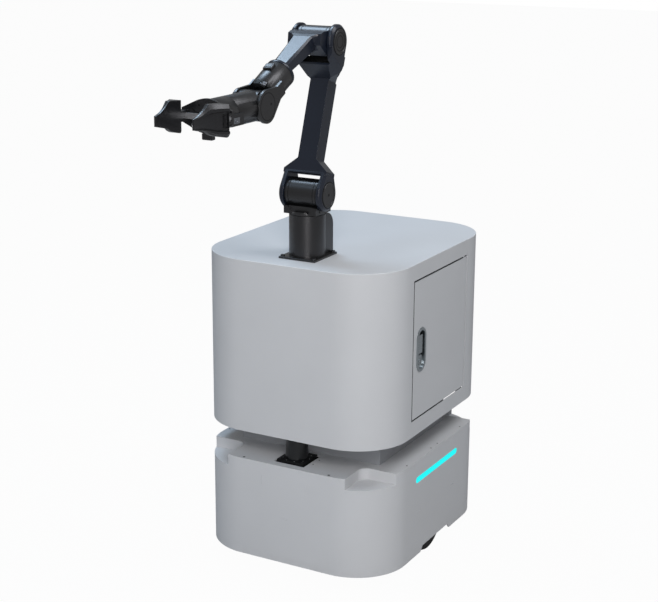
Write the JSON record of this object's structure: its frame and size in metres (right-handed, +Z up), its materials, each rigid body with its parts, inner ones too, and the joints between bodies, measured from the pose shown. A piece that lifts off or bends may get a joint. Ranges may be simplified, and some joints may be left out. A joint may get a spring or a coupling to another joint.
{
  "type": "autonomous mobile robot",
  "caption": "Autonomous mobile robot with a low wheeled base, a cabinet with a side door and a jointed arm with a parallel gripper.",
  "frame": {"origin": "on the floor under the middle of the base", "axes": "+Z up, -Y the way the robot drives and its arm reaches, +X the side of the cabinet door"},
  "size_m": [0.4222, 0.85, 1.0648],
  "materials": {
    "body_paint": "satin",
    "neck_paint": "satin",
    "frame_steel": "satin",
    "light": "gloss",
    "black_plastic": "matte",
    "scanner_window": "gloss",
    "controller_metal": "satin",
    "hub_metal": "satin",
    "tyre": "matte",
    "caster_rubber": "matte",
    "button_metal": "satin",
    "contact_brass": "satin",
    "handle_metal": "satin",
    "arm_black": "satin",
    "arm_grey": "satin",
    "gripper_black": "satin",
    "rail_steel": "satin"
  },
  "bodies": {
    "robot": {"chassis_plate": "frame_steel", "base_shell": "body_paint", "deck_front": "body_paint", "deck_rear": "body_paint", "light_bar_left": "light", "light_bar_right": "light", "scanner_tray": "black_plastic", "scanner_base": "black_plastic", "scanner_head": "scanner_window", "wheel_bracket_left": "frame_steel", "wheel_bracket_right": "frame_steel", "caster_mounts": "frame_steel", "battery_pack": "black_plastic", "drive_controller": "controller_metal", "button_collar": "black_plastic", "charge_contacts": "contact_brass", "neck_frame": "neck_paint", "rear_cable_cover": "neck_paint", "cabinet_shell": "body_paint", "cabinet_frame": "frame_steel", "main_computer": "controller_metal", "arm_supply": "controller_metal", "roof_stiffener": "frame_steel", "hinge_brackets": "frame_steel", "arm_foot": "arm_black", "arm_column": "arm_black"},
    "drive_wheel_left": {"drive_hub_left": "hub_metal", "drive_tyre_left": "tyre"},
    "drive_wheel_right": {"drive_hub_right": "hub_metal", "drive_tyre_right": "tyre"},
    "button": {"power_button": "button_metal"},
    "door": {"door_panel": "body_paint", "hinge_pins": "frame_steel", "handle_bezel": "handle_metal"},
    "door_handle": {"handle_lever": "handle_metal"},
    "lock": {"door_lock": "handle_metal"},
    "turret": {"arm_turret": "arm_black", "shoulder_motor": "arm_grey"},
    "upper_arm_link": {"upper_arm": "arm_black", "shoulder_caps": "arm_grey", "elbow_caps": "arm_grey"},
    "forearm_link": {"forearm_shroud": "arm_black", "elbow_motor": "arm_grey"},
    "roll_link": {"roll_housing": "arm_black"},
    "wrist_link": {"wrist_housing": "arm_grey"},
    "gripper": {"gripper_base": "gripper_black", "gripper_plate": "gripper_black", "gripper_rail": "rail_steel", "tool_camera": "gripper_black"},
    "jaw_left": {"finger_left": "gripper_black"},
    "jaw_right": {"finger_right": "gripper_black"},
    "caster_front_left": {"caster_fork_front_left": "frame_steel"},
    "caster_roller_front_left": {"caster_wheel_front_left": "caster_rubber"},
    "caster_front_right": {"caster_fork_front_right": "frame_steel"},
    "caster_roller_front_right": {"caster_wheel_front_right": "caster_rubber"},
    "caster_rear_left": {"caster_fork_rear_left": "frame_steel"},
    "caster_roller_rear_left": {"caster_wheel_rear_left": "caster_rubber"},
    "caster_rear_right": {"caster_fork_rear_right": "frame_steel"},
    "caster_roller_rear_right": {"caster_wheel_rear_right": "caster_rubber"}
  },
  "joints": [
    {"name": "drive_spin_left", "type": "hinge", "parent": "robot", "child": "drive_wheel_left", "pos_m": [-0.178, 0, 0.07], "axis": [1, 0, 0], "continuous": true},
    {"name": "drive_spin_right", "type": "hinge", "parent": "robot", "child": "drive_wheel_right", "pos_m": [0.178, 0, 0.07], "axis": [1, 0, 0], "continuous": true},
    {"name": "caster_swivel_front_left", "type": "hinge", "parent": "robot", "child": "caster_front_left", "pos_m": [-0.125, -0.185, 0.068], "axis": [0, 0, 1], "continuous": true},
    {"name": "caster_spin_front_left", "type": "hinge", "parent": "caster_front_left", "child": "caster_roller_front_left", "pos_m": [-0.125, -0.167, 0.025], "axis": [1, 0, 0], "continuous": true},
    {"name": "caster_swivel_front_right", "type": "hinge", "parent": "robot", "child": "caster_front_right", "pos_m": [0.125, -0.185, 0.068], "axis": [0, 0, 1], "continuous": true},
    {"name": "caster_spin_front_right", "type": "hinge", "parent": "caster_front_right", "child": "caster_roller_front_right", "pos_m": [0.125, -0.167, 0.025], "axis": [1, 0, 0], "continuous": true},
    {"name": "caster_swivel_rear_left", "type": "hinge", "parent": "robot", "child": "caster_rear_left", "pos_m": [-0.125, 0.185, 0.068], "axis": [0, 0, 1], "continuous": true},
    {"name": "caster_spin_rear_left", "type": "hinge", "parent": "caster_rear_left", "child": "caster_roller_rear_left", "pos_m": [-0.125, 0.203, 0.025], "axis": [1, 0, 0], "continuous": true},
    {"name": "caster_swivel_rear_right", "type": "hinge", "parent": "robot", "child": "caster_rear_right", "pos_m": [0.125, 0.185, 0.068], "axis": [0, 0, 1], "continuous": true},
    {"name": "caster_spin_rear_right", "type": "hinge", "parent": "caster_rear_right", "child": "caster_roller_rear_right", "pos_m": [0.125, 0.203, 0.025], "axis": [1, 0, 0], "continuous": true},
    {"name": "power_button_press", "type": "slide", "parent": "robot", "child": "button", "axis": [0, -1, 0], "range_m": [0, 0.0015], "stiffness_N_per_m": 900, "springref_m": -0.0008},
    {"name": "door_hinge", "type": "hinge", "parent": "robot", "child": "door", "pos_m": [0.2045, 0.1134, 0.4565], "axis": [0, 0, 1], "range_deg": [0, 105]},
    {"name": "handle_pull", "type": "hinge", "parent": "door", "child": "door_handle", "pos_m": [0.20425, -0.088, 0.449], "axis": [0, 1, 0], "range_deg": [0, 30], "stiffness_Nm_per_rad": 0.05, "springref_deg": -22.92},
    {"name": "lock_turn", "type": "hinge", "parent": "door", "child": "lock", "pos_m": [0.19825, -0.088, 0.428], "axis": [1, 0, 0], "range_deg": [0, 90]},
    {"name": "arm_yaw", "type": "hinge", "parent": "robot", "child": "turret", "pos_m": [0, -0.16, 0.712], "axis": [0, 0, 1], "range_deg": [-154, 154]},
    {"name": "shoulder_pitch", "type": "hinge", "parent": "turret", "child": "upper_arm_link", "pos_m": [0, -0.1605, 0.751], "axis": [1, 0, 0], "range_deg": [-74, 90]},
    {"name": "elbow_pitch", "type": "hinge", "parent": "upper_arm_link", "child": "forearm_link", "pos_m": [0, -0.12046, 1.03281], "axis": [-1, 0, 0], "range_deg": [-41, 133]},
    {"name": "forearm_roll", "type": "hinge", "parent": "forearm_link", "child": "roll_link", "pos_m": [0, -0.26483, 0.98447], "axis": [0, -0.8894, -0.4571], "range_deg": [-102, 102]},
    {"name": "wrist_pitch", "type": "hinge", "parent": "roll_link", "child": "wrist_link", "pos_m": [0, -0.352, 0.93968], "axis": [1, 0, 0], "range_deg": [-48, 102]},
    {"name": "hand_roll", "type": "hinge", "parent": "wrist_link", "child": "gripper", "pos_m": [0, -0.443, 0.93968], "axis": [0, -1, 0], "range_deg": [-120, 120]},
    {"name": "jaw_slide_left", "type": "slide", "parent": "gripper", "child": "jaw_left", "axis": [1, 0, 0], "range_m": [0, 0.035]},
    {"name": "jaw_slide_right", "type": "slide", "parent": "gripper", "child": "jaw_right", "axis": [-1, 0, 0], "range_m": [0, 0.035]}
  ],
  "couplings": [
    {"joint": "jaw_slide_right", "follows": "jaw_slide_left", "ratio": 1}
  ]
}
